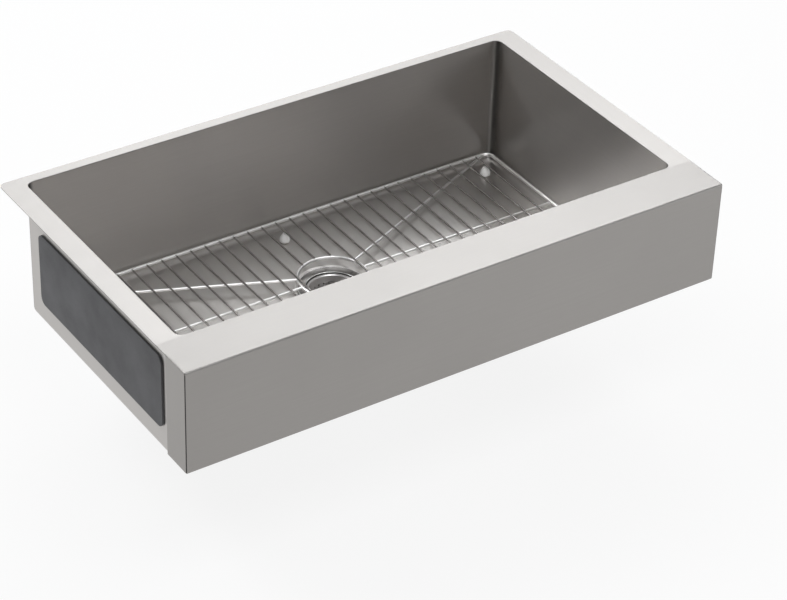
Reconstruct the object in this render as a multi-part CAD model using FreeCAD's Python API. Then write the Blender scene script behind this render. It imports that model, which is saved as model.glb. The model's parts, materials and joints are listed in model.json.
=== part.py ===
import FreeCAD, Part
import math
import os

from FreeCAD import Vector

# Apron-front kitchen sink, millimetres. X runs left to right, Y from the apron to the
# back wall, Z up. The origin is the centre of the rim's top plane.

# ---- sheet, rim and apron ----
sheet = 1.5                  # 16 gauge stainless sheet, bowl and apron alike
overall_length = 908.0
overall_width = 540.0
end_rim = 35.0               # rim beside the bowl, under the counter
back_rim = 17.0              # rim behind the bowl
rim_corner = 10.0            # round of the rim's two back corners
deck_depth = 78.2            # apron face to the bowl's front edge
apron_height = 168.3
apron_return = 51.0          # depth of the apron's two ends
bottom_return = 20.0         # lip folded back along the apron's lower edge
deck_bend = 3.0              # outer bend between deck and apron face
corner_bend = 2.0            # outer bend at the apron's vertical corners
least_bend = 0.5             # tightest inside bend of the sheet
end_edge = 0.8               # ground edge where the deck meets the apron's ends

# ---- bowl ----
seat_depth = 228.6           # rim plane down to the drain seat
seat_press = 3.2             # fall of the dished seat from the floor to the drain hole
floor_fall = 3.0             # fall of the floor from the walls to the drain
wall_corner = 12.0           # vertical corners, inside
floor_round = 10.0           # wall to floor, inside
rim_edge = 1.1               # round of the bowl's top inner edge
drain_to_back = 178.0        # drain centre to the back wall
seat_border = 4.8            # strainer's flange to the outer edge of the dished seat
level_border = 6.0           # level floor kept round the dished seat
hole_play = 1.5              # strainer's cup to the edge of its hole

# ---- sound pads and braces ----
pad = 3.0                    # thickness of the damping pads
pad_corner = 12.0
pad_margin = 30.0            # bare border kept round each pad
drain_margin = 40.0          # bare floor kept round the drain seat
brace_place = 285.0          # centre line of each brace, from the middle
brace_flange = 18.0
brace_height = 110.0
brace_drop = 25.0            # rim plane to the top of a brace

# ---- strainer ----
throat = 43.0                # inside radius of the strainer's cup
flange = 1.5                 # thickness of the strainer's metal
flange_reach = 12.2          # throat to the flange's outer edge
throat_round = 1.5           # round of the flange's inner edge
shoulder = 11.0              # height of the sloping shoulder that the stopper seals on
neck_wall = 5.5              # threaded neck, with its inner rib
neck_length = 20.0
hub_wall = 3.0               # hub in the neck that guides the basket's stem
hub_height = 5.0
hub_clearance = 1.2          # basket's retaining ring to the hub
arm_width = 3.0
arm_count = 3
seal = 0.8                   # sealing ring under the flange
edge_setback = 1.0           # flange's edge stands out past the seal
gasket = 3.0                 # rubber ring under the floor
friction_ring = 1.0
ring_overlap = 10.0          # rings under the floor, past the edge of the hole
thread_gap = 0.05            # radial play of threaded and sliding fits
nut_height = 11.0
nut_rim = 2.5                # thickness of the locknut's pressing rim
nut_wall = 6.5
lug_count = 6
lug_width = 13.0
lug_overhang = 4.0           # lugs stand out past the rings above them
washer = 3.0
tail_radius = 19.05          # 1 1/2 inch tailpiece
tail_wall = 1.2
tail_length = 101.6
tail_lip = 1.6               # thickness of the tailpiece's upper flange
tail_flange = 4.45           # reach of that flange past the tube
tail_relief = 0.4            # the tube is drawn in this much inside the nut
coupling_height = 20.0
coupling_side = 4.5          # nut's wall at the middle of a flat
coupling_lip = 3.0
coupling_bevel = 0.6         # share of a corner's overhang that its bevel takes in height
nut_clearance = 1.0          # nut to the full width of the tailpiece's tube

# ---- basket ----
basket_sheet = 1.0
basket_play = 1.9            # basket's rim to the strainer's throat
basket_lip = 4.1             # width of the basket's rim
basket_taper = 6.5           # mouth radius less base radius
basket_drop = 4.0            # flange top down to the basket's rim
basket_depth = 22.6
basket_bend = 1.2            # bends at the rim and at the floor
hole_radius = 1.7
hole_border = 5.5            # outermost holes to the edge of the basket's floor
first_row = 12.5             # radius of the innermost ring of holes
row_pitch = 8.5
first_row_holes = 8
row_growth = 6               # more holes in each ring than in the one inside it
side_holes = 24
side_hole_height = 10.0      # above the basket's floor
stem_radius = 4.0
stem_tip = 12.0              # stem below the stopper
stem_bevel = 1.0
knob_radius = 12.5
knob_height = 13.0
knob_dome = 3.0              # height of the knob's domed top
knob_rise = 5.0              # knob's top above the strainer's flange
knob_wall = 2.5              # round the stem, at the knob's waist
knob_foot = 1.5              # the foot of the knob stands out past the waist
knob_step = 3.0              # height of the foot, and of the flare above it
stopper_inset = 3.5          # stopper's edge inside the basket's floor
stopper_thickness = 4.5
stopper_lip = 2.6            # top of the stopper down to its sealing edge
stopper_edge = 1.0           # depth of the bevel round the stopper's top
stopper_bevel = 4.0          # its width
stopper_boss = 3.0           # flat underside of the stopper, past the collar
collar_width = 4.0
collar = 2.0
ring_sheet = 0.8             # spring ring under the collar
ring_width = 2.6
ring_opening = 4.0

# ---- rack ----
rack_end_gap = 7.5           # bowl end wall to the rail
rack_side_gap = 3.2          # front and back wall to the rail
rail_wire = 3.0              # radii of the wires
rod_wire = 1.5
brace_wire = 2.15
ring_wire = 2.5
post_wire = 2.0
corner_slack = 2.0           # rail's corners are wider than the bowl's
rod_pitch = 25.4
last_rod_gap = 20.0          # least distance from the last rod to the end rail
ring_clearance = 11.4        # basket's rim to the inside of the ring over the drain
bite = 0.4                   # depth that a welded wire sinks into its neighbour
diagonal_inset = 16.0        # end rail to the outer end of a diagonal
foot_radius = 8.0
foot_bead = 1.4              # the foot's sole is this much smaller
foot_bulge = 2.4             # height of the foot's widest place
foot_taper = 1.1             # drawn in from there to the waist
foot_lip = 1.6               # thickness of the foot's upper edge
foot_height = 14.5
foot_waist = 7.5             # height where the foot starts to draw in
post_showing = 2.6           # bare post between foot and rod
foot_from_rail = 30.5        # rail to the line of feet
seat_gap = 0.3               # feet above the floor
post_depth = 8.0             # post's length inside the foot

# ---- what follows from the sizes above ----
half_length = overall_length / 2
apron_face = -overall_width / 2
rim_back = overall_width / 2
deck_edge = apron_face + deck_depth
bowl_half = half_length - end_rim
bowl_front = deck_edge
bowl_back = rim_back - back_rim
wall_front = bowl_front - sheet
drain_hole = throat + flange + hole_play
flange_radius = throat + flange_reach
seat_radius = flange_radius + seat_border
level_half = seat_radius + level_border
seat_top = -seat_depth
floor_low = seat_top + seat_press
floor_high = floor_low + floor_fall
drain_y = bowl_back - drain_to_back
seat_slope = seat_press / (seat_radius - drain_hole)
flange_top = seat_top + seat_slope * (flange_radius - drain_hole) + seal + flange
neck_outer = tail_radius + tail_flange
neck_bore = neck_outer - neck_wall
ring_outer = drain_hole + ring_overlap
basket_rim = throat - basket_play
basket_mouth = basket_rim - basket_lip
basket_base = basket_mouth - basket_taper
stopper_radius = basket_base - stopper_inset
collar_radius = stem_radius + collar_width
stem_bore = stem_radius + thread_gap
drain_ring = basket_rim + ring_clearance + ring_wire
rail_corner = wall_corner + corner_slack
above = 20.0                 # how far cutting shapes run past a face


def block(x_low, x_high, y_low, y_high, z_low, z_high):
    return Part.makeBox(x_high - x_low, y_high - y_low, z_high - z_low, Vector(x_low, y_low, z_low))


def edges_along(shape, axis, keep=lambda centre: True):
    """Straight edges of a shape that run along axis and whose middle passes the test."""
    chosen = []
    for edge in shape.Edges:
        ends = [vertex.Point for vertex in edge.Vertexes]
        if len(ends) != 2 or not isinstance(edge.Curve, Part.Line):
            continue
        run = ends[1].sub(ends[0]).normalize()
        if abs(run.dot(axis)) > 0.999 and keep(edge.CenterOfMass):
            chosen.append(edge)
    return chosen


def rounded_block(x_low, x_high, y_low, y_high, z_low, z_high, corner):
    shape = block(x_low, x_high, y_low, y_high, z_low, z_high)
    return shape.makeFillet(corner, edges_along(shape, Vector(0, 0, 1)))


def frustum(upper, lower, z_high, z_low):
    """Flat-sided block between two rectangles, each given as x low, x high, y low, y high."""
    rings = []
    for (x_low, x_high, y_low, y_high), z in ((upper, z_high), (lower, z_low)):
        rings.append([Vector(x_low, y_low, z), Vector(x_high, y_low, z),
                      Vector(x_high, y_high, z), Vector(x_low, y_high, z)])
    faces = [Part.Face(Part.makePolygon(ring + ring[:1])) for ring in rings]
    for i in range(4):
        j = (i + 1) % 4
        corners = [rings[0][i], rings[0][j], rings[1][j], rings[1][i], rings[0][i]]
        faces.append(Part.Face(Part.makePolygon(corners)))
    solid = Part.Solid(Part.Shell(faces))
    return solid if solid.Volume > 0 else solid.reversed()


def turned(start, *steps):
    """Solid turned about the drain's axis. Each step is the end of a line, or the middle
    and the end of an arc, as (radius, height) pairs."""
    edges = []
    here = Vector(start[0], 0, start[1])
    closing = () if steps[-1][-1] == start else (start,)
    for step in steps + closing:
        points = step if isinstance(step[0], tuple) else (step,)
        places = [Vector(radius, 0, height) for radius, height in points]
        if len(places) == 2:
            edges.append(Part.Arc(here, places[0], places[1]).toShape())
        else:
            edges.append(Part.makeLine(here, places[0]))
        here = places[-1]
    face = Part.Face(Part.Wire(edges))
    solid = face.revolve(Vector(0, 0, 0), Vector(0, 0, 1), 360)
    solid.translate(Vector(0, drain_y, 0))
    return solid


def ring_disc(inner, outer, z_low, z_high):
    return turned((inner, z_low), (outer, z_low), (outer, z_high), (inner, z_high))


def round_bar(radius, start, end):
    run = Vector(*end).sub(Vector(*start))
    return Part.makeCylinder(radius, run.Length, Vector(*start), run)


def half_chord(radius, offset):
    return math.sqrt(radius ** 2 - offset ** 2)


def dome(radius, z_edge, z_top):
    """Middle and end of an arc from (radius, z_edge) to the top of a dome on the axis."""
    rise = z_top - z_edge
    sphere = (radius ** 2 + rise ** 2) / (2 * rise)
    return (radius / 2, z_top - sphere + half_chord(sphere, radius / 2)), (0, z_top)


# ---- bowl and apron ----

def tub(skin, drop=0.0):
    """The bowl's inner space grown by skin on the walls; the floor lies skin + drop lower."""
    lowered = skin + drop
    sides = (-bowl_half - skin, bowl_half + skin, bowl_front - skin, bowl_back + skin)
    top = floor_high - lowered
    walls = rounded_block(*sides, top, above, wall_corner + skin)
    base = min(walls.Faces, key=lambda face: face.CenterOfMass.z)
    rounding = min(floor_round + skin, wall_corner + skin - 1)
    walls = walls.makeFillet(rounding, base.Edges)
    inset = (sides[0] + rounding, sides[1] - rounding, sides[2] + rounding, sides[3] - rounding)
    flat = (-level_half, level_half, drain_y - level_half, drain_y + level_half)
    pan = frustum(inset, flat, top, floor_low - lowered)
    pan = pan.common(rounded_block(*inset, floor_low - lowered, top, wall_corner + skin - rounding))
    seat = turned((0, floor_low - lowered), (seat_radius, floor_low - lowered),
                  (drain_hole, seat_top - lowered), (0, seat_top - lowered))
    return walls.fuse([pan, seat]).removeSplitter()


def bowl():
    rim = block(-half_length, half_length, wall_front, rim_back, -sheet, 0)
    back_corners = edges_along(rim, Vector(0, 0, 1), lambda centre: centre.y > 0)
    rim = rim.makeFillet(rim_corner, back_corners)
    below = block(-half_length, half_length, wall_front, rim_back, -2 * seat_depth, 0)
    outside = tub(sheet).common(below)
    shape = rim.fuse(outside).cut(tub(0)).removeSplitter()
    shape = shape.cut(Part.makeCylinder(drain_hole, seat_depth, Vector(0, drain_y, -1.5 * seat_depth)))
    mouth = []
    for edge in shape.Edges:
        box = edge.BoundBox
        level = abs(box.ZMax) < 0.01 and abs(box.ZMin) < 0.01
        inside = (box.XMin >= -bowl_half - 0.01 and box.XMax <= bowl_half + 0.01
                  and box.YMin >= bowl_front - 0.01 and box.YMax <= bowl_back + 0.01)
        if level and inside:
            mouth.append(edge)
    return shape.makeFillet(rim_edge, mouth)


def inner_bend(outer_bend, skin):
    """Radius of a bend on the inside of the sheet, which never comes to a sharp corner."""
    return max(outer_bend - skin, least_bend)


def apron_shell(skin):
    """The apron's outer form drawn in by skin, running out through its open back."""
    face = apron_face + skin
    back = apron_face + apron_return + (above if skin else 0)
    shape = block(-half_length + skin, half_length - skin, face, back, -apron_height + skin, -skin)
    along, upright = Vector(1, 0, 0), Vector(0, 0, 1)
    shape = shape.makeFillet(inner_bend(deck_bend, skin), edges_along(
        shape, along, lambda centre: centre.y < face + 1 and centre.z > -apron_height / 2))
    shape = shape.makeFillet(inner_bend(corner_bend, skin), edges_along(
        shape, upright, lambda centre: centre.y < face + 1))
    return shape.makeFillet(inner_bend(corner_bend, skin), edges_along(
        shape, along, lambda centre: centre.y < face + 1 and centre.z < -apron_height / 2))


def apron():
    back = apron_face + apron_return
    shell = apron_shell(0).cut(apron_shell(sheet))
    shell = shell.cut(block(-half_length + sheet, half_length - sheet, apron_face + bottom_return,
                            back + above, -apron_height - above, -apron_height + 2 * sheet))
    deck = block(-half_length, half_length, back, wall_front, -sheet, 0)
    shape = shell.fuse(deck).removeSplitter()
    ends = edges_along(shape, Vector(0, 1, 0), lambda centre: abs(centre.z) < 0.01
                       and abs(abs(centre.x) - half_length) < 0.01)
    return shape.makeFillet(end_edge, ends)


def apron_brace(side):
    """Channel welded between the apron's face sheet and the bowl's front wall."""
    front = apron_face + sheet
    x = side * brace_place
    outline = [(0, front), (brace_flange, front), (brace_flange, front + sheet), (sheet, front + sheet),
               (sheet, wall_front - sheet), (brace_flange, wall_front - sheet),
               (brace_flange, wall_front), (0, wall_front)]
    points = [Vector(x + side * across, y, -brace_drop) for across, y in outline]
    face = Part.Face(Part.makePolygon(points + points[:1]))
    return face.extrude(Vector(0, 0, -brace_height))


# ---- damping pads ----

def floor_pad(side):
    """Pad that follows the underside of the floor on one side of the drain."""
    inner = seat_radius + drain_margin
    outer = bowl_half - floor_round - pad_margin
    low, high = sorted((side * inner, side * outer))
    margin = floor_round + pad_margin
    outline = rounded_block(low, high, bowl_front + margin, bowl_back - margin,
                            -2 * seat_depth, -seat_depth / 2, pad_corner)
    return tub(sheet, pad).cut(tub(sheet)).common(outline)


def wall_pad(x_low, x_high, y_low, y_high):
    """Flat pad on an upright sheet, thin along X or Y, with round corners on its face."""
    low = floor_high + floor_round + pad_margin
    shape = block(x_low, x_high, y_low, y_high, low, -2 * pad_margin)
    thin = Vector(1, 0, 0) if x_high - x_low < y_high - y_low else Vector(0, 1, 0)
    return shape.makeFillet(pad_corner, edges_along(shape, thin))


def end_pad(side):
    wall = side * (bowl_half + sheet)
    x_low, x_high = sorted((wall, wall + side * pad))
    margin = wall_corner + pad_margin
    return wall_pad(x_low, x_high, bowl_front + margin, bowl_back - margin)


def back_pad():
    wall = bowl_back + sheet
    return wall_pad(-bowl_half + 2 * pad_margin, bowl_half - 2 * pad_margin, wall, wall + pad)


def front_pad():
    reach = brace_place - pad_margin
    return wall_pad(-reach, reach, wall_front - pad, wall_front)


def apron_pad():
    reach = brace_place - pad_margin
    front = apron_face + sheet
    shape = block(-reach, reach, front, front + pad, -apron_height + pad_margin, -pad_margin)
    return shape.makeFillet(pad_corner, edges_along(shape, Vector(0, 1, 0)))


# ---- strainer ----

rim_top = flange_top - basket_drop
basket_floor = rim_top - basket_depth
stopper_top = basket_floor - basket_sheet
stopper_low = stopper_top - stopper_thickness
stem_low = stopper_low - collar - stem_tip
cup_foot = (stopper_top - stopper_lip - seat_gap
            + shoulder * (throat - stopper_radius) / (throat - neck_bore))
neck_top = cup_foot - shoulder
neck_end = neck_top - neck_length
hub_top = stopper_low - collar - ring_sheet - hub_clearance
floor_under = seat_top - sheet
nut_top = floor_under - gasket - friction_ring


def flange_height(radius):
    """Top of the strainer's flange, which follows the dished seat."""
    return flange_top - seat_slope * (flange_radius - radius)


def strainer_body():
    edge = flange / 2
    skirt = throat + flange
    brink = throat + throat_round
    eased = throat_round * (1 - math.sqrt(0.5))
    cup = turned((flange_radius - edge, flange_height(flange_radius - edge)),
                 (brink, flange_height(brink)),
                 ((throat + eased, flange_height(throat) - eased),
                  (throat, flange_height(throat) - throat_round)),
                 (throat, cup_foot),
                 (neck_bore, neck_top),
                 (neck_bore, neck_end),
                 (neck_outer, neck_end),
                 (neck_outer, neck_top - flange),
                 (skirt, cup_foot - flange),
                 (skirt, flange_height(skirt) - flange),
                 (flange_radius, flange_top - flange),
                 (flange_radius, flange_top - edge))
    hub_low = hub_top - hub_height
    hub_radius = stem_bore + hub_wall
    spider = turned((0, hub_low), (hub_radius, hub_low), (hub_radius, hub_top), (0, hub_top))
    for number in range(arm_count):
        arm = block(0, neck_bore + neck_wall / 2, -arm_width / 2, arm_width / 2, hub_low, hub_top)
        arm.rotate(Vector(0, 0, 0), Vector(0, 0, 1), 360 / arm_count * number)
        arm.translate(Vector(0, drain_y, 0))
        spider = spider.fuse(arm)
    guide = Part.makeCylinder(stem_bore, 3 * hub_height, Vector(0, drain_y, hub_low - hub_height))
    return cup.fuse(spider).cut(guide).removeSplitter()


def flange_seal():
    inner = drain_hole + flange
    outer = flange_radius - edge_setback
    inner_top = flange_height(inner) - flange
    outer_top = flange_height(outer) - flange
    return turned((inner, inner_top - seal), (outer, outer_top - seal),
                  (outer, outer_top), (inner, inner_top))


def strainer_gasket():
    """Rubber ring with a bevelled top that fits the underside of the dished seat."""
    outer_top = floor_under + seat_slope * (ring_outer - drain_hole)
    return turned((drain_hole, floor_under - gasket), (ring_outer, floor_under - gasket),
                  (ring_outer, outer_top), (drain_hole, floor_under))


def strainer_friction_ring():
    return ring_disc(drain_hole, ring_outer, nut_top, floor_under - gasket)


def strainer_locknut():
    """Locknut with a pressing rim and lugs for the wrench."""
    inner = throat + flange + thread_gap
    wall = inner + nut_wall
    base = nut_top - nut_height
    shape = turned((inner, base), (wall, base), (wall, nut_top - nut_rim),
                   (ring_outer, nut_top - nut_rim), (ring_outer, nut_top), (inner, nut_top))
    for number in range(lug_count):
        lug = block(inner + nut_wall / 2, ring_outer + lug_overhang,
                    -lug_width / 2, lug_width / 2, base, nut_top - nut_rim / 2)
        tips = edges_along(lug, Vector(0, 0, 1), lambda centre: centre.x > wall)
        lug = lug.makeFillet(lug_width / 4, tips)
        lug.rotate(Vector(0, 0, 0), Vector(0, 0, 1), 360 / lug_count * (number + 0.5))
        lug.translate(Vector(0, drain_y, 0))
        shape = shape.fuse(lug)
    return shape.removeSplitter()


tail_top = neck_end - washer


def tailpiece_washer():
    return ring_disc(neck_bore, neck_outer, tail_top, neck_end)


def tailpiece():
    bore = tail_radius - tail_wall
    drawn = tail_radius - tail_relief
    nut_low = tail_top - tail_lip - coupling_lip - nut_clearance
    return turned((bore, tail_top - tail_length), (tail_radius, tail_top - tail_length),
                  (tail_radius, nut_low), (drawn, nut_low),
                  (drawn, tail_top - tail_lip), (neck_outer, tail_top - tail_lip),
                  (neck_outer, tail_top), (bore, tail_top))


def coupling_nut():
    """Hexagonal nut that draws the tailpiece's flange up against the neck."""
    base = tail_top - tail_lip - coupling_lip
    top = base + coupling_height
    across = neck_outer + coupling_side
    reach = across * 2 / math.sqrt(3)
    turns = [math.radians(60 * corner) for corner in range(7)]
    outline = [Vector(reach * math.cos(turn), drain_y + reach * math.sin(turn), base) for turn in turns]
    shape = Part.Face(Part.makePolygon(outline)).extrude(Vector(0, 0, coupling_height))
    bevel = coupling_bevel * (reach - across)
    corners = turned((0, base), (across, base), (reach, base + bevel), (reach, top - bevel),
                     (across, top), (0, top))
    tube = tail_radius + thread_gap
    thread = neck_outer + thread_gap
    lip = base + coupling_lip
    bore = turned((0, base - 1), (tube, base - 1), (tube, lip),
                  (thread, lip), (thread, top + 1), (0, top + 1))
    return shape.common(corners).cut(bore)


# ---- basket ----

def basket_cup():
    edge = basket_sheet / 2
    bend = basket_bend
    inner_rim = basket_mouth + bend
    under = basket_floor - basket_sheet
    shape = turned((basket_rim, rim_top - edge), (basket_rim - edge, rim_top), (inner_rim, rim_top),
                   (basket_mouth, rim_top - bend),
                   (basket_base + bend, basket_floor + bend), (basket_base - bend, basket_floor),
                   (stem_bore, basket_floor), (stem_bore, under), (basket_base - bend, under),
                   (basket_base + bend + basket_sheet, basket_floor + bend - edge),
                   (basket_mouth + basket_sheet, rim_top - bend - edge),
                   (inner_rim + edge, rim_top - basket_sheet), (basket_rim, rim_top - basket_sheet))
    holes = []
    rows = 1 + int((basket_base - hole_border - first_row) / row_pitch)
    for row in range(rows):
        radius = first_row + row * row_pitch
        count = first_row_holes + row * row_growth
        for number in range(count):
            turn = 2 * math.pi * number / count
            place = Vector(radius * math.cos(turn), drain_y + radius * math.sin(turn), under - 1)
            holes.append(Part.makeCylinder(hole_radius, basket_sheet + 2, place))
    for number in range(side_holes):
        turn = 2 * math.pi * (number + 0.5) / side_holes
        outward = Vector(math.cos(turn), math.sin(turn), 0)
        middle = outward * (basket_base - bend)
        place = middle + Vector(0, drain_y, basket_floor + side_hole_height)
        holes.append(Part.makeCylinder(hole_radius, above, place, outward))
    return shape.cut(Part.makeCompound(holes))


def basket_stem():
    top = flange_top + knob_rise - knob_height / 2
    return turned((0, stem_low), (stem_radius - stem_bevel, stem_low), (stem_radius, stem_low + stem_bevel),
                  (stem_radius, top), (0, top))


def basket_knob():
    """Finger knob with a waisted neck and a domed top, bored for the stem."""
    top = flange_top + knob_rise
    base = top - knob_height
    socket_end = top - knob_height / 2
    waist = stem_radius + knob_wall
    return turned((0, socket_end), (stem_bore, socket_end), (stem_bore, base), (waist + knob_foot, base),
                  (waist, base + knob_step), (knob_radius, base + 2 * knob_step),
                  (knob_radius, top - knob_dome), dome(knob_radius, top - knob_dome, top))


def basket_collar(z_top):
    return ring_disc(stem_bore, collar_radius, z_top - collar, z_top)


def basket_stopper():
    """Rubber stopper with a thin sealing lip."""
    return turned((stem_bore, stopper_low), (collar_radius + stopper_boss, stopper_low),
                  (stopper_radius, stopper_top - stopper_lip), (stopper_radius, stopper_top - stopper_edge),
                  (stopper_radius - stopper_bevel, stopper_top), (stem_bore, stopper_top))


def basket_retaining_ring():
    """Open spring ring that snaps onto the stem under the collar."""
    top = stopper_low - collar
    ring = ring_disc(stem_bore, stem_radius + ring_width, top - ring_sheet, top)
    half = ring_opening / 2
    gap = block(0, collar_radius, drain_y - half, drain_y + half, top - 2 * ring_sheet, top + ring_sheet)
    return ring.cut(gap)


# ---- rack ----

rail_x = bowl_half - rack_end_gap - rail_wire
rail_front = bowl_front + rack_side_gap + rail_wire
rail_back = bowl_back - rack_side_gap - rail_wire
rods_each_side = int((rail_x - last_rod_gap) / rod_pitch)
foot_x = rods_each_side * rod_pitch
foot_back = rail_back - foot_from_rail
foot_front = rail_front + foot_from_rail
foot_places = {"left": -foot_x, "middle": 0.0, "right": foot_x}


def floor_height(x, y):
    """Height of the bowl's floor at a place on the fall towards the drain."""
    across = (bowl_half - floor_round - abs(x)) / (bowl_half - floor_round - level_half)
    to_back = (bowl_back - floor_round - y) / (bowl_back - floor_round - drain_y - level_half)
    to_front = (y - bowl_front - floor_round) / (drain_y - level_half - bowl_front - floor_round)
    return floor_high - floor_fall * max(0, min(1, across, to_back, to_front))


foot_low = seat_gap + max(floor_height(x, y) for x in foot_places.values() for y in (foot_front, foot_back))
rod_level = foot_low + foot_height + post_showing + rod_wire
rail_level = rod_level + rod_wire - rail_wire
brace_level = rod_level - rod_wire - brace_wire + bite
ring_level = rod_level - rod_wire - ring_wire + bite


def rack_rail():
    """Outer wire of the rack: one closed round bar with four bent corners."""
    plate = rounded_block(-rail_x, rail_x, rail_front, rail_back, rail_level, rail_level + 1, rail_corner)
    path = min(plate.Faces, key=lambda face: face.CenterOfMass.z).OuterWire
    start = path.OrderedVertexes[0].Point
    run = path.OrderedEdges[0].tangentAt(path.OrderedEdges[0].FirstParameter)
    section = Part.Wire(Part.makeCircle(rail_wire, start, run))
    return path.makePipeShell([section], True, False)


def rack_cross_rods():
    """Rods from front to back; those that would cross the drain ring end on it."""
    reach = half_chord(rail_wire, rod_level - rail_level) - bite
    front = rail_front + reach
    back = rail_back - reach
    rods = []
    for number in range(-rods_each_side, rods_each_side + 1):
        x = number * rod_pitch
        if abs(x) > drain_ring - ring_wire - 2 * rod_wire:
            rods.append(round_bar(rod_wire, (x, front, rod_level), (x, back, rod_level)))
            continue
        gap = half_chord(drain_ring, x)
        rods.append(round_bar(rod_wire, (x, front, rod_level), (x, drain_y - gap, rod_level)))
        rods.append(round_bar(rod_wire, (x, drain_y + gap, rod_level), (x, back, rod_level)))
    return Part.makeCompound(rods)


def rack_long_wires():
    reach = half_chord(rail_wire, rail_level - brace_level) - bite
    start = drain_ring + half_chord(ring_wire, ring_level - brace_level) - bite
    end = rail_x - reach
    return Part.makeCompound([
        round_bar(brace_wire, (side * start, drain_y, brace_level), (side * end, drain_y, brace_level))
        for side in (-1, 1)])


def rack_diagonal_wires():
    """Four wires that run from the drain ring towards the rail's corners."""
    reach = half_chord(rail_wire, rail_level - brace_level) - bite
    start = drain_ring + half_chord(ring_wire, ring_level - brace_level) - bite
    wires = []
    for side in (-1, 1):
        for line in (rail_front + reach, rail_back - reach):
            end = Vector(side * (rail_x - diagonal_inset), line, brace_level)
            centre = Vector(0, drain_y, brace_level)
            run = end.sub(centre).normalize()
            wires.append(round_bar(brace_wire, tuple(centre + run * start), tuple(end)))
    return Part.makeCompound(wires)


def rack_drain_ring():
    return Part.makeTorus(drain_ring, ring_wire, Vector(0, drain_y, ring_level))


def foot_columns():
    return [(name, x, row, y) for row, y in (("front", foot_front), ("back", foot_back))
            for name, x in foot_places.items()]


def rack_foot_posts():
    top = rod_level - rod_wire + bite
    low = foot_low + foot_height - post_depth
    return Part.makeCompound([round_bar(post_wire, (x, y, low), (x, y, top))
                              for _, x, _, y in foot_columns()])


def rack_foot(x, y):
    """Soft bullet-shaped foot pushed onto its post."""
    top = foot_low + foot_height
    socket = post_wire + thread_gap
    sole = foot_radius - foot_bead
    shape = turned((0, foot_low), (sole, foot_low), (foot_radius, foot_low + foot_bulge),
                   (foot_radius - foot_taper, foot_low + foot_waist), (socket + foot_lip, top),
                   (socket, top), (socket, top - post_depth), (0, top - post_depth))
    shape.translate(Vector(x, y - drain_y, 0))
    return shape


def all_nodes():
    nodes = {
        "bowl": bowl(),
        "apron": apron(),
        "apron_brace_left": apron_brace(-1),
        "apron_brace_right": apron_brace(1),
        "sound_pad_floor_left": floor_pad(-1),
        "sound_pad_floor_right": floor_pad(1),
        "sound_pad_end_left": end_pad(-1),
        "sound_pad_end_right": end_pad(1),
        "sound_pad_back": back_pad(),
        "sound_pad_front": front_pad(),
        "sound_pad_apron": apron_pad(),
        "strainer_body": strainer_body(),
        "strainer_flange_seal": flange_seal(),
        "strainer_gasket": strainer_gasket(),
        "strainer_friction_ring": strainer_friction_ring(),
        "strainer_locknut": strainer_locknut(),
        "tailpiece_washer": tailpiece_washer(),
        "tailpiece": tailpiece(),
        "coupling_nut": coupling_nut(),
        "basket_cup": basket_cup(),
        "basket_stem": basket_stem(),
        "basket_knob": basket_knob(),
        "basket_collar": basket_collar(stopper_low),
        "basket_stopper": basket_stopper(),
        "basket_retaining_ring": basket_retaining_ring(),
        "rack_rail": rack_rail(),
        "rack_cross_rods": rack_cross_rods(),
        "rack_long_wires": rack_long_wires(),
        "rack_diagonal_wires": rack_diagonal_wires(),
        "rack_drain_ring": rack_drain_ring(),
        "rack_foot_posts": rack_foot_posts(),
    }
    for name, x, row, y in foot_columns():
        nodes[f"rack_foot_{row}_{name}"] = rack_foot(x, y)
    return nodes


os.makedirs("parts", exist_ok=True)
for node, shape in all_nodes().items():
    if not shape.isValid():
        print("not valid:", node)
    shape.exportStep(f"parts/{node}.step")
    box = shape.BoundBox
    print(f"{node:26s} {len(shape.Solids):3d} solids {shape.Volume:12.1f} mm3"
          f"  x {box.XMin:8.2f} {box.XMax:8.2f}  y {box.YMin:8.2f} {box.YMax:8.2f}"
          f"  z {box.ZMin:8.2f} {box.ZMax:8.2f}")
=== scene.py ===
import json
import math

import bmesh
import bpy
from mathutils import Matrix, Vector
from mathutils.bvhtree import BVHTree

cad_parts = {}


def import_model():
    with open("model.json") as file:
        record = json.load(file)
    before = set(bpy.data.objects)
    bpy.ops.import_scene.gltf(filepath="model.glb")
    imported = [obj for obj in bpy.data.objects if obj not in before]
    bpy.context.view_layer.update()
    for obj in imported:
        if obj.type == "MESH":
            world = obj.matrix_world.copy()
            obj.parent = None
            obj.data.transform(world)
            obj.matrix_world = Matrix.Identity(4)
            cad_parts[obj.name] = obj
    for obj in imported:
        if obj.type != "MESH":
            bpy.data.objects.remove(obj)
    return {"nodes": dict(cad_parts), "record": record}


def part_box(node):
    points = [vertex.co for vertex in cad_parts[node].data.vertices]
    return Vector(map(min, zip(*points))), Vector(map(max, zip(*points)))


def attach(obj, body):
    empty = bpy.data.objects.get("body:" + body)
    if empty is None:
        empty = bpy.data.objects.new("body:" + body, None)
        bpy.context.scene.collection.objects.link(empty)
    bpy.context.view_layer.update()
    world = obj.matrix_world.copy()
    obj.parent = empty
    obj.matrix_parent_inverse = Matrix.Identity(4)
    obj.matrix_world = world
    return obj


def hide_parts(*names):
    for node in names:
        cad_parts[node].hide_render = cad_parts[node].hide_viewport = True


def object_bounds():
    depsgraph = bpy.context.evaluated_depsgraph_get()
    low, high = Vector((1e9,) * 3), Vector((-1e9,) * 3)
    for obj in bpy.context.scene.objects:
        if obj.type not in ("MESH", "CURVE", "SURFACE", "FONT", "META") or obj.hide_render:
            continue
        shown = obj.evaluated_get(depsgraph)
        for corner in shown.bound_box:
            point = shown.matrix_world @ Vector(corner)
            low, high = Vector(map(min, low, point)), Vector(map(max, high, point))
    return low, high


# Apron-front kitchen sink: finishes, small details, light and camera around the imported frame.
# Lengths are in metres, in the frame's own axes, and angles in degrees.

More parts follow.
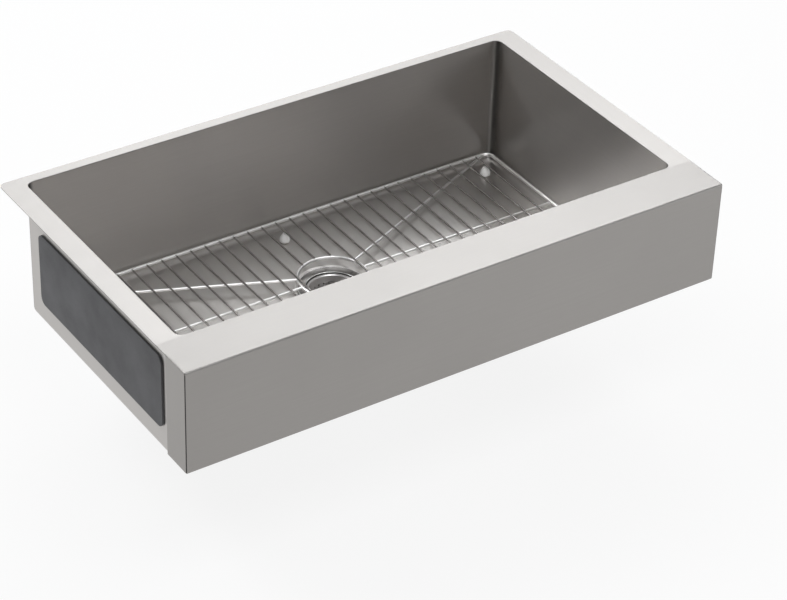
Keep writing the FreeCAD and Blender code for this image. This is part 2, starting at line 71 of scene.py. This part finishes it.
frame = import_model()
cad_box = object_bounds()
nodes = frame["nodes"]


def span(node):
    """Low and high corner of a node."""
    low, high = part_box(node)
    return Vector(low), Vector(high)


def shade(colour, factor):
    return tuple(channel * factor for channel in colour)


def around(roughness, below, above):
    """Lowest and highest value round a roughness."""
    return roughness - below, min(roughness + above, 1.0)


# ---- camera ----
IMAGE_WIDTH = 787         # pixels
FOCAL_PIXELS = 2709.2
SENSOR_WIDTH = 36.0       # millimetres
CAMERA_AZIMUTH = -34.566
CAMERA_ELEVATION = 34.707
CAMERA_ROLL = 1.987
CAMERA_DISTANCE = 3.9457
AIM_RIGHT = 0.04401       # from the origin to the line of sight, in the picture's directions
AIM_UP = -0.16834
FAR_CLIP = 200.0

# ---- floor ----
FLOOR_LEVEL = cad_box[0][2] - 0.00034
FLOOR_REACH = 40.0
FLOOR_COLOUR = (0.93, 0.93, 0.925)
FLOOR_ROUGHNESS = 0.9
FLOOR_SPECULAR = 0.1
PAPER_WHITE = (0.975, 0.975, 0.975)
PAPER_SHARE = 0.9         # of plain white in the floor as the camera and the steel see it

# ---- light ----
WORLD_COLOUR = (1.0, 0.99, 0.98)
WORLD_STRENGTH = 0.14
LAMP_COLOUR = (0.965, 0.982, 1.0)

# Each lamp's direction from the origin, distance, width, height and radiance.
LAMPS = {
    "back_right": ((0.467, 0.636, 0.614), 4.5, 3.6, 1.4, 5.1),
    "high_right": ((0.64, 0.23, 0.73), 3.0, 2.0, 1.2, 0.75),
    "high_back": ((0.40, 0.35, 0.85), 3.0, 2.0, 1.0, 1.9),
    "front_right": ((0.62, -0.62, 0.48), 4.5, 3.6, 2.2, 0.45),
    "front_low": ((0.598, -0.769, 0.20), 4.7, 2.3, 1.0, 2.2),
    "back_left": ((-0.30, 0.677, 0.67), 4.5, 2.2, 1.4, 5.2),
    "back_left_high": ((-0.467, 0.45, 0.76), 4.5, 2.2, 1.4, 6.3),
    "overhead": ((-0.05, -0.45, 0.89), 3.0, 1.8, 1.4, 5.4),
}


# ---- node helpers ----

class Nodes:
    """Short calls that add and join the nodes of one material."""

    def __init__(self, name):
        self.material = bpy.data.materials.new(name)
        self.material.use_nodes = True
        self.tree = self.material.node_tree
        self.tree.nodes.clear()
        self.shader = self.tree.nodes.new("ShaderNodeBsdfPrincipled")
        output = self.tree.nodes.new("ShaderNodeOutputMaterial")
        self.join(self.shader.outputs[0], output.inputs[0])

    def join(self, source, target):
        self.tree.links.new(source, target)

    def put(self, target, value):
        """Gives an input a number, a vector or another node's output."""
        if isinstance(value, bpy.types.NodeSocket):
            self.join(value, target)
        else:
            target.default_value = value

    def fill(self, kind, *values):
        """Adds a node and gives its inputs the values in order."""
        node = self.tree.nodes.new(kind)
        for target, value in zip(node.inputs, values):
            self.put(target, value)
        return node

    def math(self, operation, *values):
        node = self.fill("ShaderNodeMath", *values)
        node.operation = operation
        return node.outputs[0]

    def cross(self, first, second):
        node = self.fill("ShaderNodeVectorMath", first, second)
        node.operation = "CROSS_PRODUCT"
        return node.outputs[0]

    def combine(self, x, y, z):
        return self.fill("ShaderNodeCombineXYZ", x, y, z).outputs[0]

    def split(self, vector):
        return self.fill("ShaderNodeSeparateXYZ", vector).outputs

    def place(self):
        return self.tree.nodes.new("ShaderNodeTexCoord").outputs["Object"]

    def normal(self):
        return self.tree.nodes.new("ShaderNodeNewGeometry").outputs["Normal"]

    def noise(self, vector, scale, detail=3.0, roughness=0.55):
        node = self.tree.nodes.new("ShaderNodeTexNoise")
        self.put(node.inputs["Vector"], vector)
        node.inputs["Scale"].default_value = scale
        node.inputs["Detail"].default_value = detail
        node.inputs["Roughness"].default_value = roughness
        return node.outputs["Fac"]

    def spread(self, value, from_low, from_high, to_low=0.0, to_high=1.0):
        return self.fill("ShaderNodeMapRange", value, from_low, from_high, to_low, to_high).outputs[0]

    def mix(self, share, first, second, kind="RGBA"):
        node = self.tree.nodes.new("ShaderNodeMix")
        node.data_type = kind
        first_slot, second_slot, result = {"RGBA": (6, 7, 2), "VECTOR": (4, 5, 1)}[kind]
        self.put(node.inputs[0], share)
        for slot, value in ((first_slot, first), (second_slot, second)):
            if isinstance(value, tuple) and kind == "RGBA":
                value = (*value, 1.0)
            self.put(node.inputs[slot], value)
        return node.outputs[result]

    def bump(self, height, strength, distance):
        node = self.tree.nodes.new("ShaderNodeBump")
        node.inputs["Strength"].default_value = strength
        node.inputs["Distance"].default_value = distance
        self.put(node.inputs["Height"], height)
        self.join(node.outputs[0], self.shader.inputs["Normal"])

    def set(self, **values):
        """Gives the shader's inputs, whose names have a space for each underscore."""
        for name, value in values.items():
            if isinstance(value, tuple):
                value = (*value, 1.0)
            self.put(self.shader.inputs[name.replace("_", " ")], value)


# A noise stays near a half, so that these parts of its range are spread over the whole.
WIDE = (0.3, 0.7)
NARROW = (0.35, 0.65)


# ---- brushed sheet ----

# The apron's steel is a darker copy and the bowl's a lighter copy of one sheet: painted shade on the
# apron, painted light in the bowl.
STEEL = (0.346, 0.332, 0.319)
BOWL_STEEL = (0.50, 0.482, 0.465)

END_FACING = 0.7          # the normal's X beyond which a face belongs to the ends
MARK_SQUEEZE = 0.012      # of a brush mark's width to its length
FINE_MARKS = 2600
COARSE_MARKS = 420
FINE_SHARE = 0.6
CLOUDS = 5.0
CLOUD_TONE = 0.94
CLOUD_SHARE = 0.5
MARK_BUMP = (0.12, 0.00008)

CORNER_PAINTED_SHADE = 0.25        # painted shade: the upright corners are darker than the walls and painted light: the floor is brighter than them
FLOOR_PAINTED_LIGHT = 1.25        # and the rolled floor is brighter than them
FLOOR_FACING = (0.8, 0.97)
RIM_DEPTH = 0.0016        # the flat top, with the outside's coarser finish
RIM_TONES = (0.92, 1.04)


def brush_marks(m):
    """Marks that run lengthwise everywhere and front to back on the ends, as a number around
    a half, with the direction across them."""
    place = m.split(m.place())
    normal = m.normal()
    facing_end = m.math("GREATER_THAN", m.math("ABSOLUTE", m.split(normal)[0]), END_FACING)
    lengthwise = m.combine(m.math("MULTIPLY", place[0], MARK_SQUEEZE), place[1], place[2])
    endwise = m.combine(place[0], m.math("MULTIPLY", place[1], MARK_SQUEEZE), place[2])
    squeezed = m.mix(facing_end, lengthwise, endwise, "VECTOR")
    along = m.mix(facing_end, (1.0, 0.0, 0.0), (0.0, 1.0, 0.0), "VECTOR")
    fine = m.math("MULTIPLY", m.noise(squeezed, FINE_MARKS, 2.0), FINE_SHARE)
    coarse = m.math("MULTIPLY", m.noise(squeezed, COARSE_MARKS), 1 - FINE_SHARE)
    return m.math("ADD", fine, coarse), m.cross(normal, along)


def bowl_colour(m, walls, marks, colour, grain, rim):
    """Over the walls' colour: painted shade in the upright corners, painted light on the floor, and the
    rim on the flat top.
    """
    facing = m.split(m.normal())
    # Painted shade darkens the upright corners, and painted light lifts the floor's colour above the
    # walls'.
    corner = m.math("ABSOLUTE", m.math("MULTIPLY", facing[0], facing[1]))
    inside = m.mix(m.math("MULTIPLY", corner, 2.0), walls, shade(colour, CORNER_PAINTED_SHADE))
    rolled = m.mix(marks, shade(colour, FLOOR_PAINTED_LIGHT - grain), shade(colour, FLOOR_PAINTED_LIGHT + grain))
    inside = m.mix(m.spread(facing[2], *FLOOR_FACING), inside, rolled)
    on_top = m.math("GREATER_THAN", m.split(m.place())[2], -RIM_DEPTH)
    return m.mix(on_top, inside, m.mix(marks, *(shade(rim, tone) for tone in RIM_TONES)))


def brushed_steel(name, colour, roughness, grain, anisotropy, rim=None):
    """Brushed sheet. A rim colour, where given, makes it the bowl's."""
    m = Nodes(name)
    marks, across = brush_marks(m)
    streaked = m.mix(m.spread(marks, *WIDE), shade(colour, 1 - grain), shade(colour, 1 + grain))
    cloud = m.spread(m.noise(m.place(), CLOUDS), *NARROW, 0.0, CLOUD_SHARE)
    sheet = m.mix(cloud, streaked, shade(colour, CLOUD_TONE))
    if rim:
        sheet = bowl_colour(m, sheet, marks, colour, grain, rim)
    m.set(Base_Color=sheet, Metallic=1.0, Anisotropic=anisotropy, Tangent=across,
          Roughness=m.spread(marks, *WIDE, *around(roughness, 0.04, 0.05)))
    m.bump(marks, *MARK_BUMP)
    return m.material


# ---- smooth steel and rubber ----

# Near-white steel, painted light: a lit copy of the rack's steel for the wires that show bright, and a
# painted highlight on the drain's edges.
WIRE_STEEL = (0.93, 0.92, 0.91)
SMEARS = 60.0
SPECKS = 900.0
SPECK_BUMP = (0.06, 0.00005)
PATCHES = 18.0
PATCH_TONES = (0.85, 1.15)
PEBBLE_BUMP = 0.5

rail_low, rail_high = span("rack_rail")
RAIL_WIRE = rail_high.z - rail_low.z
# Behind this line the rods and their welds at the back rail are painted bright, a painted highlight that
# carries the rail's highlight across them.
BRIGHT_END = 0.0016       # of a rod, before it reaches the back of the rail
HIGHLIGHT_LINE = rail_high.y - RAIL_WIRE - BRIGHT_END


def polished_steel(name, colour, roughness, worn=0.96, highlight_line=None):
    """Smooth steel. Behind the highlight line, where one is given, the wire is painted bright as a
    painted highlight.
    """
    m = Nodes(name)
    smear = m.noise(m.place(), SMEARS)
    tone = m.mix(m.spread(smear, *NARROW), shade(colour, worn), colour)
    if highlight_line:
        behind = m.math("GREATER_THAN", m.split(m.place())[1], highlight_line)
        tone = m.mix(behind, tone, WIRE_STEEL)
    m.set(Base_Color=tone, Metallic=1.0,
          Roughness=m.spread(smear, *NARROW, *around(roughness, 0.02, 0.05)))
    m.bump(m.noise(m.place(), SPECKS, 2.0), *SPECK_BUMP)
    return m.material


def rubber(name, colour, roughness, pebbles=420.0, depth=0.0001):
    """Pebbled rubber, vinyl or fibre with slightly uneven colour."""
    m = Nodes(name)
    pebble = m.noise(m.place(), pebbles, 4.0)
    patch = m.spread(m.noise(m.place(), PATCHES), *WIDE)
    m.set(Base_Color=m.mix(patch, *(shade(colour, tone) for tone in PATCH_TONES)),
          Roughness=m.spread(pebble, *WIDE, *around(roughness, 0.06, 0.08)))
    m.bump(pebble, PEBBLE_BUMP, depth)
    return m.material


MATERIALS = {
    "sink_steel": brushed_steel("sink_steel", STEEL, 0.38, 0.05, 0.85),
    "bowl_steel": brushed_steel("bowl_steel", BOWL_STEEL, 0.34, 0.05, 0.8, rim=STEEL),
    "mill_steel": brushed_steel("mill_steel", (0.46, 0.46, 0.46), 0.45, 0.08, 0.4),
    "damping_pad": rubber("damping_pad", (0.13, 0.13, 0.135), 0.8),
    # The strainer's body is a darker copy of the steel, painted shade for the dark reflection in its
    # flange.
    "strainer_steel": polished_steel("strainer_steel", (0.27, 0.26, 0.25), 0.28, 0.85),
    "basket_steel": polished_steel("basket_steel", (0.72, 0.70, 0.69), 0.35, 0.88),
    "bright_edge": polished_steel("bright_edge", WIRE_STEEL, 0.32),
    "seal_rubber": rubber("seal_rubber", (0.03, 0.03, 0.03), 0.6),
    "fibre_ring": rubber("fibre_ring", (0.36, 0.27, 0.17), 0.85),
    "cast_zinc": polished_steel("cast_zinc", (0.50, 0.51, 0.53), 0.42),
    "plated_brass": polished_steel("plated_brass", (0.68, 0.69, 0.71), 0.12),
    "wire_steel": polished_steel("wire_steel", WIRE_STEEL, 0.32),
    "rod_steel": polished_steel("rod_steel", (0.36, 0.345, 0.335), 0.20, highlight_line=HIGHLIGHT_LINE),
    # Near-black, painted shade for the apron's corner seams and relief holes.
    "seam": rubber("seam", (0.035, 0.033, 0.032), 0.7),
    "weld": polished_steel("weld", (0.60, 0.585, 0.57), 0.30, highlight_line=HIGHLIGHT_LINE),
    "foot_vinyl": rubber("foot_vinyl", (0.93, 0.92, 0.905), 0.35, 300.0, 0.00003),
}

# The bowl's steel is a lighter copy of the apron's, painted light, and a little smoother inside; the
# rack's rods are a darker copy of the rail's and lower wires' steel, painted shade, and the basket is
# brighter than the strainer's body.
MATERIAL_OF_NODE = {"bowl": "bowl_steel", "rack_cross_rods": "rod_steel", "basket_cup": "basket_steel"}

for part in frame["record"]["subparts"]:
    mesh = nodes[part["node"]].data
    mesh.materials.clear()
    mesh.materials.append(MATERIALS[MATERIAL_OF_NODE.get(part["node"], part["material_slot"])])


# ---- helpers for the small pieces ----

def hand_over(name, shape, material, body, replaced=None, smooth=True):
    """Turns a bmesh into a piece of one material that rides on a body."""
    bmesh.ops.recalc_face_normals(shape, faces=shape.faces)
    mesh = bpy.data.meshes.new(name)
    shape.to_mesh(mesh)
    shape.free()
    for face in mesh.polygons:
        face.use_smooth = smooth
    mesh.materials.append(MATERIALS[material])
    item = bpy.data.objects.new(name, mesh)
    bpy.context.scene.collection.objects.link(item)
    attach(item, body)
    if replaced:
        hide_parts(replaced)


def stitch(shape, rings):
    """Adds faces between neighbouring rings of equal count, any of which may be a single point."""
    steps = max(len(ring) for ring in rings)
    for low, high in zip(rings, rings[1:]):
        for k in range(steps):
            n = (k + 1) % steps
            corners = [low[k % len(low)], low[n % len(low)], high[n % len(high)], high[k % len(high)]]
            corners = list(dict.fromkeys(corners))
            if len(corners) > 2:
                shape.faces.new(corners)


def spun(shape, outline, place, steps):
    """Adds the surface that an outline of (radius, height) sweeps around an upright line."""
    rings = []
    for radius, height in outline:
        if radius == 0:
            rings.append([shape.verts.new((place.x, place.y, height))])
            continue
        rings.append([shape.verts.new((place.x + radius * math.cos(math.tau * k / steps),
                                       place.y + radius * math.sin(math.tau * k / steps), height))
                      for k in range(steps)])
    stitch(shape, rings)


def curve_through(points, steps):
    """Smooth outline through given (radius, height) points, by Catmull-Rom."""
    line = []
    ends = [points[0], *points, points[-1]]
    for a, b, c, d in zip(ends, ends[1:], ends[2:], ends[3:]):
        for k in range(steps):
            t = k / steps
            line.append(tuple(0.5 * (2 * q + (r - p) * t + (2 * p - 5 * q + 4 * r - s) * t * t
                                     + (3 * q - p - 3 * r + s) * t ** 3)
                              for p, q, r, s in zip(a, b, c, d)))
    return [*line, points[-1]]


BLOB_STEPS = 12
BLOB_ROWS = 6
BLOB_WAIST = 0.18         # how far the middle is drawn in, as a share of the radius
WAIST_REACH = 0.35        # of the half height


def blob(shape, place, radius, half_height):
    """Adds a smooth lens of metal with a slightly drawn-in middle."""
    rings = []
    for row in range(BLOB_ROWS + 1):
        angle = math.pi * row / BLOB_ROWS - math.pi / 2
        wide = math.cos(angle)
        high = math.sin(angle)
        if row in (0, BLOB_ROWS):
            rings.append([shape.verts.new(place + Vector((0, 0, half_height * high)))])
            continue
        pinch = 1 - BLOB_WAIST * math.exp(-(high / WAIST_REACH) ** 2)
        turns = [math.tau * k / BLOB_STEPS for k in range(BLOB_STEPS)]
        rings.append([shape.verts.new(place + Vector((radius * wide * pinch * math.cos(turn),
                                                      radius * wide * pinch * math.sin(turn),
                                                      half_height * high))) for turn in turns])
    stitch(shape, rings)


def islands(node):
    """Boxes of a node's separate solids, as (low, high) pairs."""
    shape = bmesh.new()
    shape.from_mesh(nodes[node].data)
    bmesh.ops.remove_doubles(shape, verts=shape.verts, dist=1e-7)
    unseen = set(shape.verts)
    boxes = []
    while unseen:
        stack = [unseen.pop()]
        places = []
        while stack:
            vert = stack.pop()
            places.append(vert.co.copy())
            for edge in vert.link_edges:
                other = edge.other_vert(vert)
                if other in unseen:
                    unseen.remove(other)
                    stack.append(other)
        boxes.append(tuple(Vector([pick(place[i] for place in places) for i in range(3)])
                           for pick in (min, max)))
    shape.free()
    return boxes


# ---- drain: rolled edges and thread ----

RING_STEPS = 96
BEAD_STEPS = 10
BEAD_FLATNESS = 0.8
BEAD_TOP = 0.0007         # from the top of a rim down to the middle of its bead
FLANGE_BEAD = 0.0009
BASKET_BEAD = 0.0008
THROAT_BEAD = 0.00075
THROAT_INWARD = 0.0112    # from the flange's outer edge to the lip of the throat
THROAT_DEPTH = 0.003      # and from the flange's top down to it


def bead_ring(name, centre, radius, height, bead, body):
    """Rolled edge: a thin round bead that follows a circle, slightly flattened, in near-white steel as a
    painted highlight.
    """
    shape = bmesh.new()
    rings = []
    for k in range(RING_STEPS):
        angle = math.tau * k / RING_STEPS
        ring = []
        for i in range(BEAD_STEPS):
            turn = math.tau * i / BEAD_STEPS
            r = radius + bead * math.cos(turn)
            ring.append(shape.verts.new((centre.x + r * math.cos(angle), centre.y + r * math.sin(angle),
                                         height + bead * BEAD_FLATNESS * math.sin(turn))))
        rings.append(ring)
    stitch(shape, [*rings, rings[0]])
    hand_over(name, shape, "bright_edge", body)


def drain_edges():
    """Edges of the strainer's flange, of its throat and of the basket's rim."""
    low, high = span("strainer_body")
    centre = (low + high) / 2
    outer = (high.x - low.x) / 2
    bead_ring("flange_edge", centre, outer - FLANGE_BEAD, high.z - BEAD_TOP, FLANGE_BEAD, "sink")
    bead_ring("throat_edge", centre, outer - THROAT_INWARD, high.z - THROAT_DEPTH, THROAT_BEAD, "sink")
    low, high = span("basket_cup")
    rim = (high.x - low.x) / 2
    bead_ring("basket_rim", (low + high) / 2, rim - BASKET_BEAD, high.z - BEAD_TOP, BASKET_BEAD, "basket")


THREAD_PITCH = 0.0022
THREAD_HEIGHT = 0.00042
THREAD_ROOT = 0.00025     # how far the ridge is set into the neck
THREAD_GAP = 0.0003       # between the thread's end and a nut
THREAD_FOOT = 0.34        # half the ridge's width, as a share of the pitch
THREAD_CREST = 0.25       # and its crest's, as a share of that
THREAD_STEPS = 48         # in a turn
THREAD_RUN_OUT = 10       # steps over which the ridge fades at its ends


def strainer_thread():
    """The neck's helical ridge, where it shows between the locknut and the coupling nut."""
    nut_low, _ = span("strainer_locknut")
    _, coupling_high = span("coupling_nut")
    washer_low, washer_high = span("tailpiece_washer")
    centre = (washer_low + washer_high) / 2
    radius = (washer_high.x - washer_low.x) / 2
    low = coupling_high.z + THREAD_GAP
    high = nut_low.z - THREAD_GAP
    count = int((high - low) / THREAD_PITCH * THREAD_STEPS)
    half = THREAD_PITCH * THREAD_FOOT
    crest = half * THREAD_CREST
    shape = bmesh.new()
    rings = []
    for k in range(count + 1):
        angle = math.tau * k / THREAD_STEPS
        z = low + half + (high - low - 2 * half) * k / count
        proud = THREAD_HEIGHT * min(1.0, k / THREAD_RUN_OUT, (count - k) / THREAD_RUN_OUT)
        ring = []
        for out, rise in ((-THREAD_ROOT, -half), (proud, -crest), (proud, crest), (-THREAD_ROOT, half)):
            r = radius + out
            ring.append(shape.verts.new((centre.x + r * math.cos(angle), centre.y + r * math.sin(angle),
                                         z + rise)))
        rings.append(ring)
    stitch(shape, rings)
    shape.faces.new(rings[0])
    shape.faces.new(rings[-1][::-1])
    hand_over("strainer_thread", shape, "strainer_steel", "sink", smooth=False)


# ---- rack: feet and welds ----

FOOT_STEPS = 40
FOOT_CURVE_STEPS = 4
# Shares of the foot's radius and height: the side from the sole over the rolled lip at the post,
# the hollow sole, and the socket inside the lip.
FOOT_SIDE = [(0.80, 0.0), (0.955, 0.055), (0.997, 0.16), (0.965, 0.34), (0.84, 0.58), (0.63, 0.80),
             (0.52, 0.90), (0.50, 0.965), (0.44, 0.998), (0.34, 0.99), (0.275, 0.94)]
FOOT_SOLE = [(0.0, 0.03), (0.62, 0.03), (0.70, 0.0)]
FOOT_SOCKET = [(0.27, 0.62), (0.0, 0.62)]


def rack_feet():
    """Soft bell-shaped feet with a rolled lip around the post."""
    for row in ("front", "back"):
        for name in ("left", "middle", "right"):
            node = f"rack_foot_{row}_{name}"
            low, high = span(node)
            radius = (high.x - low.x) / 2
            height = high.z - low.z
            sole, side, socket = ([(radius * a, height * b) for a, b in shares]
                                  for shares in (FOOT_SOLE, FOOT_SIDE, FOOT_SOCKET))
            outline = [*sole, *curve_through(side, FOOT_CURVE_STEPS), *socket]
            shape = bmesh.new()
            spun(shape, [(a, low.z + b) for a, b in outline], (low + high) / 2, FOOT_STEPS)
            hand_over(f"bell_foot_{row}_{name}", shape, "foot_vinyl", "rack", node)


# Shares of the rod's radius.
WELD_SPREAD = 1.22
WELD_DEPTH = 0.95
WELD_INWARD = 0.4         # from a rod's end
WELD_DROP = 0.5           # below a rod's middle, at the rail
NEAR_RAIL = 6             # the reach within which a rod's end lies at the rail


def crossings(x, wires):
    """Y of each wire where it passes an X, for wires that rise or fall from the drain outward."""
    drain_low, drain_high = span("rack_drain_ring")
    drain_y = (drain_low.y + drain_high.y) / 2
    for low, high in wires:
        if low.x < x < high.x:
            share = (x - low.x) / (high.x - low.x)
            behind = (low.y + high.y) / 2 > drain_y
            rises = (low.x > 0) == behind
            yield low.y + share * (high.y - low.y) if rises else high.y - share * (high.y - low.y)


def rack_welds():
    """Flush resistance welds where the rods lie on the rail, the ring and the lower wires."""
    ring_low, ring_high = span("rack_drain_ring")
    ring = (ring_high.x - ring_low.x) / 2 - (ring_high.z - ring_low.z) / 2
    diagonals = islands("rack_diagonal_wires")
    lines = islands("rack_long_wires")
    shape = bmesh.new()
    for low, high in islands("rack_cross_rods"):
        wire = (high.x - low.x) / 2
        x = (low.x + high.x) / 2
        spread = wire * WELD_SPREAD
        depth = wire * WELD_DEPTH
        along_lines = [(start.y + end.y) / 2 for start, end in lines if start.x < x < end.x]
        for y in (*along_lines, *crossings(x, diagonals)):
            if low.y < y < high.y:
                blob(shape, Vector((x, y, low.z)), spread, depth)
        for end, edge, inward in ((low.y, rail_low.y, 1), (high.y, rail_high.y, -1)):
            if abs(end - edge) < wire * NEAR_RAIL:
                at_rail = Vector((x, end + inward * wire * WELD_INWARD,
                                  (low.z + high.z) / 2 - wire * WELD_DROP))
                blob(shape, at_rail, spread, depth)
            elif abs(x) < ring:
                blob(shape, Vector((x, end, low.z)), spread, depth)
    hand_over("rack_welds", shape, "weld", "rack")


# ---- apron: corner seams ----

SEAM_WIDTH = 0.0019
SEAM_PROUD = 0.00015
SEAM_SIDE = 0.0001
SEAM_SINK = 0.0004
SEAM_END = 0.0022         # from the apron's top and bottom to the seam's ends
SEAM_ROWS = 60
HOLE_RADIUS = 0.00135     # of the relief hole at the top
HOLE_DEPTH = 0.00115
STAND_OFF = 0.01          # outside the apron, where the rays start
# Across the seam: shares of its half width, and heights above the apron's corner.
SEAM_PROFILE = ((-1, -SEAM_SINK), (-0.8, -SEAM_SIDE), (0, SEAM_PROUD), (0.8, -SEAM_SIDE), (1, -SEAM_SINK))


def apron_seams():
    """Closed seam down each front corner of the apron, with its relief hole at the top; the seam's
    near-black strip and the dark dot in the hole are painted shade.
    """
    low, high = span("apron")
    apron = nodes["apron"].data
    tree = BVHTree.FromPolygons([vert.co for vert in apron.vertices],
                                [face.vertices for face in apron.polygons])

    def surface(place, direction):
        hit, _, _, _ = tree.ray_cast(place + direction * STAND_OFF, -direction)
        return hit

    for side, name in ((-1, "left"), (1, "right")):
        corner = low.x if side < 0 else high.x
        outward = Vector((side, -1, 0)).normalized()
        beside = Vector((-outward.y, outward.x, 0))
        shape = bmesh.new()
        previous = None
        for k in range(SEAM_ROWS + 1):
            z = high.z - SEAM_END + (low.z - high.z + 2 * SEAM_END) * k / SEAM_ROWS
            hit = surface(Vector((corner, low.y, z)), outward)
            row = [shape.verts.new(hit + beside * (SEAM_WIDTH / 2) * a + outward * b)
                   for a, b in SEAM_PROFILE]
            if previous:
                for a in range(len(row) - 1):
                    shape.faces.new((previous[a], previous[a + 1], row[a + 1], row[a]))
            previous = row
        diagonal = Vector((side, -1, 1)).normalized()
        hit = surface(Vector((corner, low.y, high.z)), diagonal)
        blob(shape, hit - diagonal * HOLE_DEPTH, HOLE_RADIUS, HOLE_RADIUS)
        hand_over(f"apron_seam_{name}", shape, "seam", "sink")


drain_edges()
rack_feet()
rack_welds()
strainer_thread()
apron_seams()


# ---- floor, lamps, world and camera ----

def floor():
    """White paper that keeps the sink's shadow and shows as plain white in the steel."""
    mesh = bpy.data.meshes.new("floor")
    corners = ((-1, -1), (1, -1), (1, 1), (-1, 1))
    mesh.from_pydata([(a * FLOOR_REACH, b * FLOOR_REACH, FLOOR_LEVEL) for a, b in corners], [],
                     [(0, 1, 2, 3)])
    m = Nodes("floor")
    m.set(Base_Color=FLOOR_COLOUR, Roughness=FLOOR_ROUGHNESS, Specular_IOR_Level=FLOOR_SPECULAR)
    rays = m.tree.nodes.new("ShaderNodeLightPath").outputs
    seen = m.math("MAXIMUM", rays["Is Camera Ray"],
                  m.math("MAXIMUM", rays["Is Glossy Ray"], rays["Is Transmission Ray"]))
    plain = m.tree.nodes.new("ShaderNodeEmission")
    plain.inputs[0].default_value = (*PAPER_WHITE, 1.0)
    blend = m.fill("ShaderNodeMixShader", m.math("MULTIPLY", seen, PAPER_SHARE),
                   m.shader.outputs[0], plain.outputs[0])
    m.join(blend.outputs[0], m.tree.nodes["Material Output"].inputs[0])
    mesh.materials.append(m.material)
    plane = bpy.data.objects.new("floor", mesh)
    bpy.context.scene.collection.objects.link(plane)


def softbox(name, place, width, height, radiance):
    """Rectangular area lamp of a given radiance, turned to face the origin."""
    lamp = bpy.data.lights.new(name, "AREA")
    lamp.shape = "RECTANGLE"
    lamp.size = width
    lamp.size_y = height
    lamp.energy = radiance * math.pi * width * height
    lamp.color = LAMP_COLOUR
    item = bpy.data.objects.new(name, lamp)
    item.location = place
    item.rotation_euler = (-place).to_track_quat("-Z", "Y").to_euler()
    bpy.context.scene.collection.objects.link(item)


def world():
    sky = bpy.data.worlds.new("studio")
    sky.use_nodes = True
    background = sky.node_tree.nodes["Background"]
    background.inputs[0].default_value = (*WORLD_COLOUR, 1.0)
    background.inputs[1].default_value = WORLD_STRENGTH
    bpy.context.scene.world = sky


def camera():
    turn, lift, roll = (math.radians(a) for a in (CAMERA_AZIMUTH, CAMERA_ELEVATION, CAMERA_ROLL))
    back = Vector((math.sin(turn) * math.cos(lift), -math.cos(turn) * math.cos(lift), math.sin(lift)))
    level = (-back).cross(Vector((0, 0, 1))).normalized()
    upright = level.cross(-back)
    right = math.cos(roll) * level + math.sin(roll) * upright
    up = -math.sin(roll) * level + math.cos(roll) * upright
    place = back * CAMERA_DISTANCE + right * AIM_RIGHT + up * AIM_UP
    data = bpy.data.cameras.new("camera")
    data.sensor_width = SENSOR_WIDTH
    data.lens = FOCAL_PIXELS / IMAGE_WIDTH * SENSOR_WIDTH
    data.clip_end = FAR_CLIP
    item = bpy.data.objects.new("camera", data)
    axes = Matrix((right, up, back)).transposed()
    item.matrix_world = Matrix.Translation(place) @ axes.to_4x4()
    bpy.context.scene.collection.objects.link(item)
    bpy.context.scene.camera = item


floor()
for lamp, (direction, distance, width, height, radiance) in LAMPS.items():
    softbox(lamp, Vector(direction).normalized() * distance, width, height, radiance)
world()
camera()

scene = bpy.context.scene
scene.view_settings.view_transform = "Standard"
